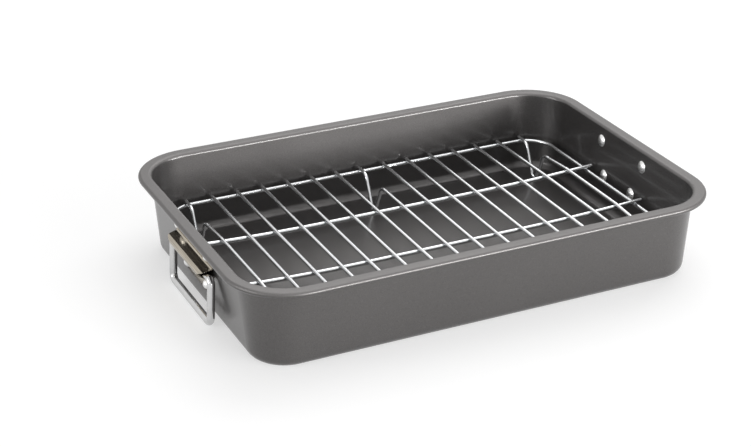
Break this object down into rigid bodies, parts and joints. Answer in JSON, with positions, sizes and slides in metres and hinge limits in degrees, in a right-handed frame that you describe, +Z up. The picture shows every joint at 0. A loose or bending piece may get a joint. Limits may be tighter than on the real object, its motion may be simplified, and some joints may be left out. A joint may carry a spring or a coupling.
{
  "type": "roasting pan with rack",
  "caption": "Rectangular non-stick roasting pan with tapering walls, a rolled rim, drop handles on riveted brackets and a lift-out wire rack on V feet.",
  "frame": {"origin": "middle of the pan's flat base, on the table", "axes": "+X along the long side towards the right handle, +Y towards the rear long wall, +Z up out of the pan's mouth"},
  "size_m": [0.407, 0.2794, 0.0696],
  "materials": {
    "non_stick_pan": "dark grey non-stick coating on steel, semi-gloss",
    "bracket_plate": "bright pressed steel plate",
    "rivets": "bright domed heads",
    "bail_rod": "bright plated rod",
    "rack_wire": "bright plated wire"
  },
  "bodies": {
    "pan": {"pan_shell": "non_stick_pan", "left_bracket": "bracket_plate", "right_bracket": "bracket_plate", "left_bracket_rivets": "rivets", "right_bracket_rivets": "rivets"},
    "left_bail": {"left_bail": "bail_rod"},
    "right_bail": {"right_bail": "bail_rod"},
    "rack": {"rack_frame": "rack_wire", "rack_stringer_rear": "rack_wire", "rack_stringer_front": "rack_wire", "rack_cross_wire_01": "rack_wire", "rack_cross_wire_02": "rack_wire", "rack_cross_wire_03": "rack_wire", "rack_cross_wire_04": "rack_wire", "rack_cross_wire_05": "rack_wire", "rack_cross_wire_06": "rack_wire", "rack_cross_wire_07": "rack_wire", "rack_cross_wire_08": "rack_wire", "rack_cross_wire_09": "rack_wire", "rack_cross_wire_10": "rack_wire", "rack_cross_wire_11": "rack_wire", "rack_cross_wire_12": "rack_wire", "rack_leg_wire_left": "rack_wire", "rack_leg_wire_middle": "rack_wire", "rack_leg_wire_right": "rack_wire"}
  },
  "joints": [
    {"name": "left_bail_hinge", "type": "hinge", "parent": "pan", "child": "left_bail", "pos_m": [-0.19487, 0, 0.04156], "axis": [0, 1, 0], "range_deg": [-5, 146]},
    {"name": "right_bail_hinge", "type": "hinge", "parent": "pan", "child": "right_bail", "pos_m": [0.19487, 0, 0.04156], "axis": [0, -1, 0], "range_deg": [-5, 146]},
    {"name": "rack_lift", "type": "slide", "parent": "pan", "child": "rack", "axis": [0, 0, 1], "range_m": [0, 0.09]}
  ]
}
